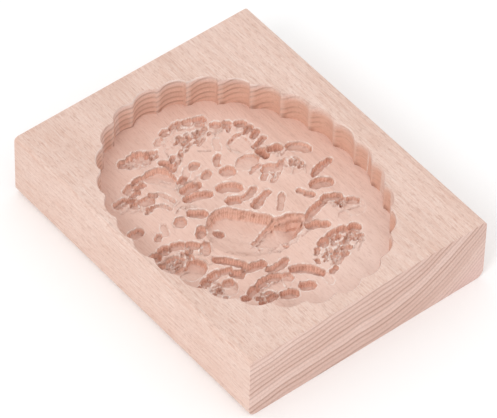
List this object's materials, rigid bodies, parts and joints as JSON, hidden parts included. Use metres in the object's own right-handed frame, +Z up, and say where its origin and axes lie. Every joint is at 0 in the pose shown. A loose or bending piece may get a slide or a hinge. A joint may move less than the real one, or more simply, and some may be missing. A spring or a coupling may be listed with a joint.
{
  "type": "wooden cookie mould",
  "caption": "Rectangular wooden board with a deep scalloped oval recess for dough; a bird among flowers is carved into the floor of the recess.",
  "frame": {"origin": "middle of the underside, on the surface that the board rests on", "axes": "+X across the board, +Y along the grain and up the picture, +Z up out of the recess"},
  "size_m": [0.075, 0.094, 0.02],
  "materials": {
    "beech": "planed and sanded steamed beech, bare and matt, with crisp gouge cuts"
  },
  "bodies": {
    "root": {"mould_board": "beech"}
  },
  "joints": []
}
